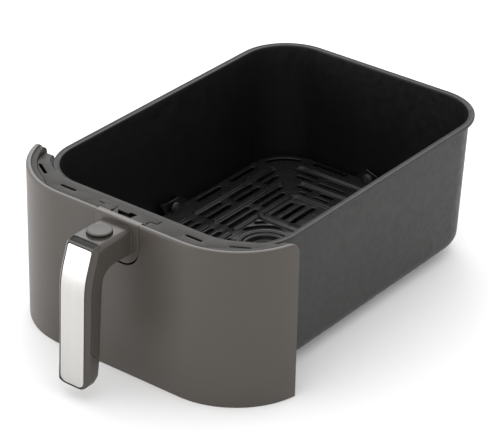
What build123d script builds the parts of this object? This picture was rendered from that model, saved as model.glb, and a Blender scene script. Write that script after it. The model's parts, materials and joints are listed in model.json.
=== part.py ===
from build123d import *
import math
import os

# Air fryer drawer: a drafted pan with a crisper plate, a curved front panel with a ledge,
# and an upright handle with a release button. Everything is drawn in millimetres with x = 0
# on the plane of symmetry, y = 0 on the front panel's outer face with +y to the back, and
# z = 0 on the surface it stands on. save() then moves the origin to the footprint's centre.

# Pan
PAN_HALF_WIDTH = 110.0
PAN_FRONT = 32.7
PAN_LENGTH = 318.0
PAN_CORNER = 42.7
PAN_DRAFT = 2.2
PAN_FILLET = 14.0
SHEET = 1.0
RIM_Z = 131.0
RIM_FLANGE = 5.3
RIM_LIP = 2.5
PAN_BASE_Z = 7.5
FOOT_X = 68.0
FOOT_Y = 112.0
FOOT_RADIUS = 8.0
PAN_CENTRE_Y = PAN_FRONT + PAN_LENGTH / 2
PAN_BACK = PAN_FRONT + PAN_LENGTH

# Bracket between the pan and the front panel, with its rivets and screws
BRACKET_FRONT = 20.0
BRACKET_BACK = 21.5
BRACKET_HALF_WIDTH = 86.0
CHANNEL_X = 48.0
CHANNEL_HALF = 12.0
CHANNEL_SHEET = 1.5
SCREW_X = 76.0
SCREW_Z = (42.0, 104.0)
RIVET_Z = (62.0, 96.0)
NECK_SCREW_X = 10.5
NECK_SCREW_Z = 116.0

# Crisper plate
PLATE_TOP = 28.0
PLATE_SHEET = 1.5
PLATE_HALF_WIDTH = 102.4
PLATE_HALF_LENGTH = 151.4
PLATE_CORNER = 39.5
PLATE_SKIRT = 5.0
SLOT_WIDTH = 4.0
RIDGE_HEIGHT = 1.8
RIDGE_WIDTH = 4.6
HUB_RADIUS = 27.0
HUB_HOLE_RADIUS = 10.0
EAR_WIDTH = 26.0
EAR_HEIGHT = 12.0
EAR_HOLE_Z = 33.4
BUMPER_RADIUS = 4.8
BUMPER_PAD = 2.6
LEG_RADIUS = 3.5
LEG_X = 62.0
LEG_Y = 104.0
CAP_SHEET = 1.5
BODY_GAP = 0.3

# Front panel and ledge
PANEL_HALF_WIDTH = 132.3
PANEL_CORNER = 71.4
PANEL_WALL = 3.0
PANEL_TOP = 137.4
LIP_WIDTH = 4.0
ARM_END = 58.0
ARM_ROUND = 6.5
LEDGE_TOP = 136.0
LEDGE_SHEET = 2.5
LEDGE_GAP = 2.5
SEAM = 0.3
SNUG = 0.1
BASE_SHEET = 2.5

# Escutcheon, the tongue that carries the handle
TONGUE_HALF_WIDTH = 21.5
TONGUE_BOTTOM = 100.5
TONGUE_CORNER = 15.5
TONGUE_SHELF = 13.3
TONGUE_WING_HALF_WIDTH = 28.8
TONGUE_WING_END = 19.3

# Handle
HANDLE_HALF_WIDTH = 16.0
HANDLE_REACH = 54.5
NECK_TOP = 133.0
NECK_BOTTOM = 110.5
GRIP_BOTTOM = 12.5
GRIP_WALL = 2.6
INLAY_HALF_WIDTH = 11.7
INLAY_SHEET = 1.2
HANDLE_SCREW_Z = (56.0, 88.0)
CHEEK = 3.4

# Corners of the handle's side outline, as (y, z)
BEND_Z = 103.6
BEND_Y = -51.45
BEND_RADIUS = 70.0
BEVEL_TOP_Y = -34.5
BEVEL_LOW = (-41.2, 131.6)
SPLIT_BEND = (-47.4, 102.5)
SPLIT_LOW = (-50.0, 45.0)
SPLIT_BACK = (-37.9, 33.5)

# Release button and latch
BUTTON_RADIUS = 10.15
BUTTON_TOP = 135.0
BUTTON_Y = -19.5
BUTTON_FLOOR = 126.0
STEM_RADIUS = 3.6
STEM_NOSE = 2.4
LEVER_PIN_Y = -35.0
LEVER_PIN_Z = 119.5
LEVER_PIN_RADIUS = 1.5
LEVER_THICK = 3.0
LEVER_HALF_WIDTH = 4.0
HOOK_FRONT = 8.0
HOOK_BACK = 12.0
HOOK_TOP = 134.5
WIRE = 0.8

FOOTPRINT_CENTRE_Y = (PAN_BACK + RIM_FLANGE - HANDLE_REACH) / 2


def save(name, shape):
    """Write one node, moved so that the origin is the centre of the footprint."""
    placed = shape.moved(Location((0, -FOOTPRINT_CENTRE_Y, 0)))
    placed.label = name
    export_step(placed, "parts/" + name + ".step")


def block(x0, x1, y0, y1, z0, z1):
    """A box from its two corners."""
    centre = ((x0 + x1) / 2, (y0 + y1) / 2, (z0 + z1) / 2)
    return Pos(*centre) * Box(x1 - x0, y1 - y0, z1 - z0)


def rod_along_y(x, z, radius, y0, y1):
    """A cylinder along y from y0 to y1."""
    return Pos(x, (y0 + y1) / 2, z) * Rot(90, 0, 0) * Cylinder(radius, y1 - y0)


def rod_along_x(y, z, radius, half_length):
    """A cylinder along x, centred on x = 0."""
    return Pos(0, y, z) * Rot(0, 90, 0) * Cylinder(radius, 2 * half_length)


def upright(x, y, radius, z0, z1):
    """A cylinder along z from z0 to z1."""
    return Pos(x, y, (z0 + z1) / 2) * Cylinder(radius, z1 - z0)


def rounded_face(corners):
    """A flat outline from (a, b, corner radius) triples."""
    face = make_face(Polyline([(a, b) for a, b, radius in corners], close=True))
    for a, b, radius in corners:
        if radius > 0:
            face = fillet(face.vertices().sort_by_distance((a, b, 0))[0], radius)
    return face


def side_solid(corners, half_width):
    """A (y, z) outline given its width along x."""
    return extrude(Plane.YZ * rounded_face(corners), half_width, both=True)


# Pan ---------------------------------------------------------------------------------------


def pan_plan(outset):
    """The pan's opening in plan, grown by outset."""
    half_width = PAN_HALF_WIDTH + outset
    length = PAN_LENGTH + 2 * outset
    return Pos(0, PAN_CENTRE_Y) * RectangleRounded(2 * half_width, length, PAN_CORNER + outset)


def tub(outset, base_z, bottom_radius):
    """A drafted block under the rim, as the pan's outside or its hollow."""
    depth = RIM_Z - base_z
    body = extrude(Pos(0, 0, RIM_Z) * pan_plan(outset), -depth, taper=PAN_DRAFT)
    bottom = body.faces().sort_by(Axis.Z)[0]
    return fillet(bottom.edges(), bottom_radius)


def pan_outside():
    return tub(SHEET, PAN_BASE_Z, PAN_FILLET)


def pan(rivets):
    flange = extrude(Pos(0, 0, RIM_Z - SHEET) * pan_plan(RIM_FLANGE), SHEET)
    lip_ring = pan_plan(RIM_FLANGE) - pan_plan(RIM_FLANGE - SHEET)
    lip = extrude(Pos(0, 0, RIM_Z - RIM_LIP) * lip_ring, RIM_LIP)
    shell = pan_outside() + flange + lip
    return shell - tub(0, PAN_BASE_Z + SHEET, PAN_FILLET - SHEET) - rivets


def pan_wall_y(z):
    """Where the outside of the pan's front wall is at height z."""
    return PAN_FRONT - SHEET + (RIM_Z - z) * math.tan(math.radians(PAN_DRAFT))


def at_four_places(x, y, solid):
    """Copies of a solid at four places round the pan's centre line."""
    middle = Pos(0, PAN_CENTRE_Y, 0)
    places = GridLocations(2 * x, 2 * y, 2, 2)
    return Compound([middle * place * solid for place in places])


def pan_feet():
    return at_four_places(FOOT_X, FOOT_Y, upright(0, 0, FOOT_RADIUS, 0, PAN_BASE_Z))


# Bracket between the pan and the front panel ---------------------------------------------------


def rivet_shanks(radius):
    """Solid rods where the rivets go through the bracket and the pan."""
    rods = []
    for x in (-CHANNEL_X, CHANNEL_X):
        for z in RIVET_Z:
            wall = pan_wall_y(z)
            rods.append(rod_along_y(x, z, radius, wall - 4.0, wall + 2.6))
    return rods


def bracket_channel(x, outside):
    """A channel that stands off the plate and lies against the pan's wall."""
    web = outside.moved(Location((0, -CHANNEL_SHEET, 0)))
    outer = block(x - CHANNEL_HALF, x + CHANNEL_HALF, BRACKET_BACK, 50, 48, 110)
    inner_half = CHANNEL_HALF - CHANNEL_SHEET
    inner = block(x - inner_half, x + inner_half, BRACKET_BACK, 50, 47, 111)
    return (outer - outside) - (inner - web)


def pan_bracket(outside, rivets):
    plate = block(-BRACKET_HALF_WIDTH, BRACKET_HALF_WIDTH, BRACKET_FRONT, BRACKET_BACK, 32, 122)
    plate -= block(-7, 7, BRACKET_FRONT - 1, BRACKET_BACK + 1, 100, 123)
    for x in (-SCREW_X, SCREW_X):
        for z in SCREW_Z:
            plate -= rod_along_y(x, z, 2.2, BRACKET_FRONT - 1, BRACKET_BACK + 1)
    for x in (-NECK_SCREW_X, NECK_SCREW_X):
        plate -= rod_along_y(x, NECK_SCREW_Z, 2.1, BRACKET_FRONT - 1, BRACKET_BACK + 1)
    seat = block(-12, 12, 6.5, BRACKET_FRONT, 100.5, 102)
    body = plate + seat
    for x in (-CHANNEL_X, CHANNEL_X):
        body += bracket_channel(x, outside)
    return body - rivets


def bracket_rivets(pan_body, bracket_body):
    heads = Compound(rivet_shanks(4.0))
    return heads - pan_body - bracket_body


# Crisper plate ----------------------------------------------------------------------------------


def plate_plan(inset):
    width = 2 * (PLATE_HALF_WIDTH - inset)
    length = 2 * (PLATE_HALF_LENGTH - inset)
    return RectangleRounded(width, length, PLATE_CORNER - inset)


def slot_y(x, y0, y1):
    """A slot along y between its round ends."""
    return Pos(x, (y0 + y1) / 2) * Rot(0, 0, 90) * SlotOverall(y1 - y0, SLOT_WIDTH)


def slot_x(y, x0, x1):
    """A slot along x between its round ends."""
    return Pos((x0 + x1) / 2, y) * SlotOverall(x1 - x0, SLOT_WIDTH)


def quarter_slots():
    """The slots of one quarter of the plate, with the plate's centre as the origin."""
    runs_y = [(93.5, 24, 58), (93.5, 70, 106), (75.5, 6, 36), (75.5, 46, 79), (75.5, 86, 113)]
    runs_y += [(67, 6, 38), (67, 46, 79), (67, 86, 106), (52.5, 6, 45), (52.5, 52, 92)]
    runs_y += [(44, 6, 45), (44, 52, 84), (27.5, 45, 75), (17.5, 45, 78), (7.5, 45, 79)]
    runs_x = [(144.5, 20, 59), (125, 37, 63), (125, 4, 28), (116, 37, 55), (116, 4, 31)]
    runs_x += [(102, 27, 43), (102, 4, 19), (93, 27, 35), (93, 4, 20)]
    slots = [slot_y(x, y0, y1) for x, y0, y1 in runs_y]
    slots += [slot_x(y, x0, x1) for y, x0, x1 in runs_x]
    return Sketch() + slots


def all_quarters(sketch):
    """A quarter sketch mirrored about both centre lines."""
    half = sketch + mirror(sketch, Plane.YZ)
    return half + mirror(half, Plane.XZ)


def quarter_ridges():
    """The raised ridges of one quarter, each a rounded bar."""
    ridges = []
    for x, y0, y1 in ((84.7, 6, 128), (60, 6, 104), (36, 40, 87)):
        ridges.append(Pos(x, (y0 + y1) / 2) * Rot(0, 0, 90) * SlotOverall(y1 - y0, RIDGE_WIDTH))
    for y, half_length in ((133, 60), (110, 47), (87, 36), (39.5, 38)):
        ridges.append(Pos(0, y) * SlotOverall(2 * half_length, RIDGE_WIDTH))
    return Sketch() + ridges


def ear(angle, distance):
    """An upright tab at the middle of a side, with two horns and a hole for its bumper."""
    thick = PLATE_SHEET
    outline = Rectangle(EAR_WIDTH, EAR_HEIGHT, align=(Align.CENTER, Align.MIN))
    outline -= Pos(0, EAR_HEIGHT + 3.0) * Circle(5.5)
    outline -= Pos(0, EAR_HOLE_Z - PLATE_TOP + PLATE_SHEET) * Circle(1.6)
    tab = extrude(Plane.XZ * outline, thick)
    tab = Pos(0, -distance + thick, PLATE_TOP - PLATE_SHEET) * tab
    return Rot(0, 0, angle) * tab


def crisper_plate():
    top = extrude(Pos(0, 0, PLATE_TOP - PLATE_SHEET) * plate_plan(0), PLATE_SHEET)
    skirt_ring = plate_plan(0) - plate_plan(PLATE_SHEET)
    skirt = extrude(Pos(0, 0, PLATE_TOP - PLATE_SKIRT) * skirt_ring, PLATE_SKIRT)
    ridges = extrude(Pos(0, 0, PLATE_TOP) * all_quarters(quarter_ridges()), RIDGE_HEIGHT)
    hub_ring = Circle(HUB_RADIUS) - Circle(HUB_RADIUS - 6)
    hub = extrude(Pos(0, 0, PLATE_TOP) * hub_ring, RIDGE_HEIGHT)
    through = extrude(Pos(0, 0, PLATE_TOP - 3) * all_quarters(quarter_slots()), 4 + RIDGE_HEIGHT)
    body = top + skirt + ridges + hub - through
    body -= upright(0, 0, HUB_HOLE_RADIUS, PLATE_TOP - 3, PLATE_TOP + 3)
    for angle, distance in ear_places():
        body += ear(angle, distance)
    return Pos(0, PAN_CENTRE_Y, 0) * body


def ear_places():
    """Turn about z and distance from the centre of each ear: front, right, back, left."""
    side = PLATE_HALF_WIDTH
    end = PLATE_HALF_LENGTH
    return ((0, end), (90, side), (180, end), (270, side))


def bumper(angle, distance):
    """A silicone stud through an ear, with a domed head outside and a flange inside."""
    z = EAR_HOLE_Z
    face = -distance
    head = rod_along_y(0, z, BUMPER_RADIUS, face - BUMPER_PAD, face)
    stem = rod_along_y(0, z, 1.6, face, face + PLATE_SHEET)
    knob = rod_along_y(0, z, BUMPER_RADIUS - 0.8, face + PLATE_SHEET, face + PLATE_SHEET + 3.0)
    return Pos(0, PAN_CENTRE_Y, 0) * Rot(0, 0, angle) * (head + stem + knob)


def plate_legs():
    low = PAN_BASE_Z + SHEET + BODY_GAP + CAP_SHEET
    return at_four_places(LEG_X, LEG_Y, upright(0, 0, LEG_RADIUS, low, PLATE_TOP - PLATE_SHEET))


def leg_caps():
    low = PAN_BASE_Z + SHEET + BODY_GAP
    outside = upright(0, 0, LEG_RADIUS + CAP_SHEET, low, low + 6)
    inside = upright(0, 0, LEG_RADIUS, low + CAP_SHEET, low + 7)
    return at_four_places(LEG_X, LEG_Y, outside - inside)


# Front panel, ledge and base ---------------------------------------------------------------------


def panel_plan(inset):
    """The front panel's outline in plan, cut off just beyond the ends of its two arms."""
    depth = 300.0
    width = 2 * (PANEL_HALF_WIDTH - inset)
    full = Pos(0, inset + depth / 2) * RectangleRounded(width, depth, PANEL_CORNER - inset)
    return full & arms_zone()


def arms_zone():
    """A rectangle in plan that reaches a little past the arms' ends."""
    depth = ARM_END + 2
    return Pos(0, depth / 2) * Rectangle(2 * PANEL_HALF_WIDTH + 10, depth)


def arm_mask():
    """Everything in front of the arms' ends, with their top corners rounded."""
    corners = [(-5, -5, 0), (ARM_END, -5, 0), (ARM_END, PANEL_TOP, ARM_ROUND), (-5, PANEL_TOP, 0)]
    return side_solid(corners, PANEL_HALF_WIDTH + 5)


def tongue_plan(gap):
    """The tongue's top as seen from above: a shelf with two wings behind it."""
    half = TONGUE_HALF_WIDTH + gap
    shelf = Pos(0, (TONGUE_SHELF - 5) / 2) * Rectangle(2 * half, TONGUE_SHELF + 5)
    wing_depth = TONGUE_WING_END - TONGUE_SHELF + 2 * gap
    wing_y = (TONGUE_WING_END + TONGUE_SHELF) / 2
    return shelf + Pos(0, wing_y) * Rectangle(2 * (TONGUE_WING_HALF_WIDTH + gap), wing_depth)


def tongue_front(gap, low_gap):
    """The tongue's upright outline as seen from the front."""
    half = TONGUE_HALF_WIDTH + gap
    low = TONGUE_BOTTOM - low_gap
    corner = TONGUE_CORNER + gap
    high = PANEL_TOP + 5
    corners = [(-half, high, 0), (-half, low, corner), (half, low, corner), (half, high, 0)]
    return Plane.XZ * rounded_face(corners)


def front_panel():
    wall = extrude(panel_plan(0) - panel_plan(PANEL_WALL), PANEL_TOP)
    lip_z = LEDGE_TOP - LEDGE_SHEET
    lip = extrude(Pos(0, 0, lip_z) * (panel_plan(0) - panel_plan(LIP_WIDTH)), PANEL_TOP - lip_z)
    body = wall + lip
    for x in (-SCREW_X, SCREW_X):
        for z in SCREW_Z:
            body += rod_along_y(x, z, 4.5, PANEL_WALL + 0.4, BRACKET_FRONT)
            body -= rod_along_y(x, z, 1.6, BRACKET_FRONT - 10, BRACKET_FRONT)
    body -= extrude(tongue_front(SEAM, 1.5), 20, both=True)
    return body & arm_mask()


def ledge_slots():
    """The openings in the ledge: two long slots and two at an angle in the corners."""
    cutters = []
    for side in (-1, 1):
        cutters.append(Pos(side * 62.7, 14.8) * SlotOverall(16, 2.6))
        cutters.append(Pos(side * 99.7, 26.3) * Rot(0, 0, side * 34.5) * SlotOverall(19.4, 3.0))
    return Sketch() + cutters


def wall_windows():
    """Where the bracket's channels and the screw heads pass through the back wall."""
    openings = []
    for side in (-1, 1):
        x = side * CHANNEL_X
        openings.append(block(x - CHANNEL_HALF - 1, x + CHANNEL_HALF + 1, 20, 30, 47, 111))
        openings.append(rod_along_y(side * NECK_SCREW_X, NECK_SCREW_Z, 4.2, 20, 30))
        for z in SCREW_Z:
            openings.append(rod_along_y(side * SCREW_X, z, 4.5, 20, 30))
    return Compound(openings)


def ledge_cover():
    """The top ledge with the wall that closes the front panel's back."""
    zone = panel_plan(LIP_WIDTH) - pan_plan(RIM_FLANGE + LEDGE_GAP)
    zone = zone - tongue_plan(SEAM) - ledge_slots()
    ledge = extrude(Pos(0, 0, LEDGE_TOP - LEDGE_SHEET) * zone, LEDGE_SHEET)
    wall_plan = pan_plan(RIM_FLANGE + LEDGE_GAP + 2.0) - pan_plan(RIM_FLANGE + LEDGE_GAP)
    wall = extrude(Pos(0, 0, BASE_SHEET) * (wall_plan & arms_zone()), LEDGE_TOP - BASE_SHEET)
    wall -= wall_windows()
    ends = block(-140, 140, ARM_END - 2, ARM_END + 1, BASE_SHEET, LEDGE_TOP - LEDGE_SHEET)
    end_zone = extrude(panel_plan(PANEL_WALL) - pan_plan(RIM_FLANGE + LEDGE_GAP), PANEL_TOP)
    body = ledge + wall + (ends & end_zone)
    return body & arm_mask()


def panel_base():
    """The strip that closes the front panel's underside."""
    zone = panel_plan(PANEL_WALL + SNUG) - pan_plan(RIM_FLANGE + LEDGE_GAP)
    return extrude(zone, BASE_SHEET) & arm_mask()


def panel_screws():
    """Four screws that hold the bracket's plate to the panel's bosses."""
    screws = []
    for x in (-SCREW_X, SCREW_X):
        for z in SCREW_Z:
            shank = rod_along_y(x, z, 1.6, BRACKET_FRONT - 10, BRACKET_BACK)
            head = rod_along_y(x, z, 3.6, BRACKET_BACK, BRACKET_BACK + 2.2)
            screws.append(shank + head)
    return Compound(screws)


def latch_opening():
    """The opening in the tongue's shelf that the latch hook works in."""
    back = [(-8.7, 12.8), (1.3, 12.8), (1.3, 15.3), (7.3, 15.3)]
    front = [(8.3, 12.3), (6.8, 6.3), (-4.7, 6.3)]
    return make_face(Polyline(back + front, close=True))


def lever_window(grow):
    """The way through the tongue and the neck for the latch lever."""
    half = LEVER_HALF_WIDTH + 1.0 + grow
    return block(-half, half, -8, 6, 111.6, 125)


def escutcheon():
    plate = extrude(tongue_front(0, 0), -PANEL_WALL) & block(-40, 40, -1, 10, 0, PANEL_TOP)
    shelf = extrude(Pos(0, 0, LEDGE_TOP - LEDGE_SHEET) * tongue_plan(0), LEDGE_SHEET)
    shelf &= block(-40, 40, 0, 30, 100, PANEL_TOP)
    lip = block(-TONGUE_HALF_WIDTH, TONGUE_HALF_WIDTH, 0, LIP_WIDTH, LEDGE_TOP - 1, PANEL_TOP)
    body = plate + shelf + lip
    body -= extrude(Pos(0, 0, LEDGE_TOP - 5) * latch_opening(), 10)
    body -= lever_window(0)
    for x in (-NECK_SCREW_X, NECK_SCREW_X):
        body += rod_along_y(x, NECK_SCREW_Z, 4.0, PANEL_WALL, BRACKET_FRONT)
        body -= rod_along_y(x, NECK_SCREW_Z, 2.1, -2, BRACKET_FRONT + 1)
    return body


def neck_screws():
    """Two long screws from the bracket through the tongue into the handle's neck."""
    screws = []
    for x in (-NECK_SCREW_X, NECK_SCREW_X):
        shank = rod_along_y(x, NECK_SCREW_Z, 2.0, -14, BRACKET_BACK)
        head = rod_along_y(x, NECK_SCREW_Z, 3.4, BRACKET_BACK, BRACKET_BACK + 2.6)
        screws.append(shank + head)
    return Compound(screws)


# Handle -------------------------------------------------------------------------------------------


def silhouette(inset):
    """The handle seen from the front: rounded at the top of the neck and the foot of the grip."""
    half = HANDLE_HALF_WIDTH - inset
    low = GRIP_BOTTOM + inset
    high = NECK_TOP - inset
    corners = [(-half, high, 4.5 - inset / 2), (-half, low, 7 - inset), (half, low, 7 - inset)]
    corners.append((half, high, 4.5 - inset / 2))
    return extrude(Plane.XZ * rounded_face(corners), 80, both=True)


def handle_front_shell():
    """The front of the grip, with its foot and a shallow seat for the inlay."""
    corners = [
        (BEVEL_TOP_Y, NECK_TOP, 0),
        (BEVEL_LOW[0], BEVEL_LOW[1], 0),
        (BEND_Y, BEND_Z, BEND_RADIUS),
        (-HANDLE_REACH, GRIP_BOTTOM, 1.2),
        (-49.0, GRIP_BOTTOM, 5),
        (-40.5, 20.5, 5),
        (SPLIT_BACK[0], SPLIT_BACK[1], 0),
        (SPLIT_LOW[0], SPLIT_LOW[1], 2),
        (SPLIT_BEND[0], SPLIT_BEND[1], BEND_RADIUS - 4),
        (BEVEL_TOP_Y - 3.5, NECK_TOP - 3.0, 0),
    ]
    body = side_solid(corners, HANDLE_HALF_WIDTH) & silhouette(0)
    body -= inlay_layer(INLAY_HALF_WIDTH + 0.15, INLAY_SHEET)
    for z in HANDLE_SCREW_Z:
        body += rod_along_y(0, z, 3.4, -50, -45)
        body -= rod_along_y(0, z, 1.5, -49, -40)
    return body


def front_line_y(z):
    """Where the grip's front face is at height z, on its lower, near-upright part."""
    slope = (HANDLE_REACH + BEND_Y) / (BEND_Z - GRIP_BOTTOM)
    return BEND_Y - slope * (BEND_Z - z)


def inlay_layer(half_width, thick):
    """A layer just inside the grip's front face, the shape of the inlay."""
    low_z = GRIP_BOTTOM + 1.6
    top = (BEVEL_LOW[0] - 0.6, BEVEL_LOW[1] - 1.6)
    corners = [
        (top[0], top[1], 0),
        (BEND_Y, BEND_Z, BEND_RADIUS),
        (front_line_y(low_z), low_z, 0),
        (front_line_y(low_z) + thick, low_z, 0),
        (BEND_Y + thick, BEND_Z, BEND_RADIUS - thick),
        (top[0] + thick, top[1], 0),
    ]
    left = [(-half_width, 150, 0), (-half_width, low_z, 5)]
    right = [(half_width, low_z, 5), (half_width, 150, 0)]
    mask = extrude(Plane.XZ * rounded_face(left + right), 80, both=True)
    return side_solid(corners, half_width) & mask


def rear_profile():
    """The side outline of the neck and the back of the grip."""
    return [
        (BEVEL_TOP_Y, NECK_TOP, 0),
        (0, NECK_TOP, 0),
        (0, NECK_BOTTOM, 0),
        (-33.0, NECK_BOTTOM, 12),
        (SPLIT_BACK[0], SPLIT_BACK[1], 0),
        (SPLIT_LOW[0], SPLIT_LOW[1], 2),
        (SPLIT_BEND[0], SPLIT_BEND[1], BEND_RADIUS - 4),
        (BEVEL_TOP_Y - 3.5, NECK_TOP - 3.0, 0),
    ]


def rear_hollow():
    """The room inside the neck and the grip."""
    wall = GRIP_WALL
    corners = [
        (BEVEL_TOP_Y + 2, NECK_TOP - wall, 0),
        (-wall, NECK_TOP - wall, 0),
        (-wall, NECK_BOTTOM + wall - 0.9, 0),
        (-33.0 - wall, NECK_BOTTOM + wall - 0.9, 10),
        (SPLIT_BACK[0] - wall, SPLIT_BACK[1] + 6, 0),
        (SPLIT_LOW[0] - 1, SPLIT_LOW[1] + 3, 0),
        (SPLIT_BEND[0] - 1, SPLIT_BEND[1], BEND_RADIUS),
        (BEVEL_TOP_Y - 5, NECK_TOP - 5, 0),
    ]
    return side_solid(corners, HANDLE_HALF_WIDTH - CHEEK)


def handle_rear_shell():
    """The neck and the back of the grip, hollow, with the button's well and screw bosses."""
    filled = side_solid(rear_profile(), HANDLE_HALF_WIDTH)
    body = (filled & silhouette(0)) - rear_hollow()
    well = upright(0, BUTTON_Y, BUTTON_RADIUS + 2.2, BUTTON_FLOOR - 1.8, NECK_TOP - 1)
    body += well
    body -= upright(0, BUTTON_Y, BUTTON_RADIUS + 0.6, BUTTON_FLOOR, NECK_TOP + 1)
    body -= upright(0, BUTTON_Y, STEM_RADIUS + 0.3, BUTTON_FLOOR - 3, BUTTON_FLOOR + 1)
    body -= lever_window(0)
    for x in (-NECK_SCREW_X, NECK_SCREW_X):
        body += rod_along_y(x, NECK_SCREW_Z, 4.0, -16, -0.5) & filled
        body -= rod_along_y(x, NECK_SCREW_Z, 2.0, -14, 1)
    for z in HANDLE_SCREW_Z:
        body += rod_along_y(0, z, 3.4, -45, -36) & filled
        body -= rod_along_y(0, z, 1.5, -46, -30)
        body -= rod_along_y(0, z, 3.2, -38.5, -30)
    body -= rod_along_x(LEVER_PIN_Y, LEVER_PIN_Z, LEVER_PIN_RADIUS, HANDLE_HALF_WIDTH - 1.5)
    return body


def handle_screws():
    """Two screws from the back of the grip into its front shell."""
    screws = []
    for z in HANDLE_SCREW_Z:
        screws.append(rod_along_y(0, z, 1.5, -49, -38.5) + rod_along_y(0, z, 3.0, -38.5, -36.6))
    return Compound(screws)


def handle_core():
    """A steel strip on each side of the screws that stiffens the grip."""
    strips = []
    for x in (-8.5, 8.5):
        strips.append(block(x - 1, x + 1, -46.0, -41.0, 52, 98))
    return Compound(strips)


# Release button, lever and springs -------------------------------------------------------------------


def release_button():
    cap = upright(0, BUTTON_Y, BUTTON_RADIUS, BUTTON_FLOOR + 5.0, BUTTON_TOP)
    cap = fillet(cap.edges().sort_by(Axis.Z)[-1], 1.0)
    lever_top = LEVER_PIN_Z + LEVER_THICK / 2
    stem = upright(0, BUTTON_Y, STEM_RADIUS, lever_top + BODY_GAP, BUTTON_FLOOR + 5.5)
    return cap + fillet(stem.edges().sort_by(Axis.Z)[0], STEM_NOSE)


def coil(radius, low, high, turns):
    """A round-wire compression spring between two heights."""
    height = high - low - WIRE
    path = Helix(pitch=height / turns, height=height, radius=radius)
    section = Plane(origin=path @ 0, z_dir=path % 0) * Circle(WIRE / 2)
    return Pos(0, 0, low + WIRE / 2) * sweep(section, path=path)


def button_spring():
    return Pos(0, BUTTON_Y, 0) * coil(6.5, BUTTON_FLOOR + 0.05, BUTTON_FLOOR + 4.95, 3)


def latch_lever():
    """A lever on the pin in the neck: the button bears on it and it carries the hook."""
    top = LEVER_PIN_Z + LEVER_THICK / 2
    low = LEVER_PIN_Z - LEVER_THICK / 2
    bar = block(-LEVER_HALF_WIDTH, LEVER_HALF_WIDTH, LEVER_PIN_Y, HOOK_BACK, low, top)
    eye = rod_along_x(LEVER_PIN_Y, LEVER_PIN_Z, 3.2, LEVER_HALF_WIDTH)
    half = LEVER_HALF_WIDTH - 0.5
    hook = block(-half, half, HOOK_FRONT, HOOK_BACK, top - 1, HOOK_TOP)
    return bar + eye + hook - rod_along_x(LEVER_PIN_Y, LEVER_PIN_Z, LEVER_PIN_RADIUS + 0.05, 20)


def latch_pin():
    return rod_along_x(LEVER_PIN_Y, LEVER_PIN_Z, LEVER_PIN_RADIUS, HANDLE_HALF_WIDTH - 1.6)


def latch_spring():
    low = LEVER_PIN_Z - LEVER_THICK / 2
    return Pos(0, (HOOK_FRONT + HOOK_BACK) / 2, 0) * coil(3.2, 102.05, low - 0.1, 5)


def main():
    os.makedirs("parts", exist_ok=True)
    outside = pan_outside()
    holes = Compound(rivet_shanks(2.0))
    pan_body = pan(holes)
    bracket_body = pan_bracket(outside, holes)
    save("pan", pan_body)
    save("pan_bracket", bracket_body)
    save("bracket_rivets", bracket_rivets(pan_body, bracket_body))
    save("pan_feet", pan_feet())
    save("crisper_plate", crisper_plate())
    save("plate_legs", plate_legs())
    save("leg_caps", leg_caps())
    for name, place in zip(("front", "right", "back", "left"), ear_places()):
        save("bumper_" + name, bumper(*place))
    save("front_panel", front_panel())
    save("ledge_cover", ledge_cover())
    save("panel_base", panel_base())
    save("panel_screws", panel_screws())
    save("escutcheon", escutcheon())
    save("neck_screws", neck_screws())
    save("handle_front_shell", handle_front_shell())
    save("handle_rear_shell", handle_rear_shell())
    save("handle_inlay", inlay_layer(INLAY_HALF_WIDTH, INLAY_SHEET))
    save("handle_screws", handle_screws())
    save("handle_core", handle_core())
    save("release_button", release_button())
    save("button_spring", button_spring())
    save("latch_lever", latch_lever())
    save("latch_pin", latch_pin())
    save("latch_spring", latch_spring())


main()
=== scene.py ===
import json
import math

import bmesh
import bpy
from mathutils import Matrix, Vector
from mathutils.geometry import delaunay_2d_cdt


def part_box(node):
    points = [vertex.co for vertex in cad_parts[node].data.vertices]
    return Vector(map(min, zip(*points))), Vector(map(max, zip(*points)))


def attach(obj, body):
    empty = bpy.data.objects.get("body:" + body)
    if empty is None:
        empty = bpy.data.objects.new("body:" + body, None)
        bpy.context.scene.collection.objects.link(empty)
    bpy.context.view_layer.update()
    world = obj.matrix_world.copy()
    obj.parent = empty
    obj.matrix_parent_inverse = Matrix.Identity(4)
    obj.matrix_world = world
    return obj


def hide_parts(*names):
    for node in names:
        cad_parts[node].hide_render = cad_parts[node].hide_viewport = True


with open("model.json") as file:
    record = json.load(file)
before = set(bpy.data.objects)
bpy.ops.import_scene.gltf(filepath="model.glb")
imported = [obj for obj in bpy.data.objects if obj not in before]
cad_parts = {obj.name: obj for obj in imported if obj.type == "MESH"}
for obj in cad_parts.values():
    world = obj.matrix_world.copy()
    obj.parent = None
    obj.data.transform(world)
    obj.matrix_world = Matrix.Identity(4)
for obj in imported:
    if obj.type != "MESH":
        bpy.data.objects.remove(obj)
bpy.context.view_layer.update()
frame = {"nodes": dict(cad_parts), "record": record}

# Every piece is drawn in millimetres with x = 0 on the plane of symmetry, y = 0 on the front
# panel's face and z = 0 on the floor, and then placed in the frame's metres.
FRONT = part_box("front_panel")[0].y * 1000

# Pan
PAN_HALF_X = 110.0
PAN_HALF_Y = 159.0
PAN_CENTRE_Y = 191.7
PAN_CORNER = 42.7
PAN_DRAFT = math.tan(math.radians(2.2))
RIM_Z = 131.0
RIM_OUT = 5.3
PAN_BASE_Z = 7.5

# Crisper plate, about its own centre
PLATE_TOP = 28.0
PLATE_THICK = 1.5
PLATE_HALF_X = 102.4
PLATE_HALF_Y = 151.4
PLATE_CORNER = 39.5
SLOT_HALF = 2.2

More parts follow.
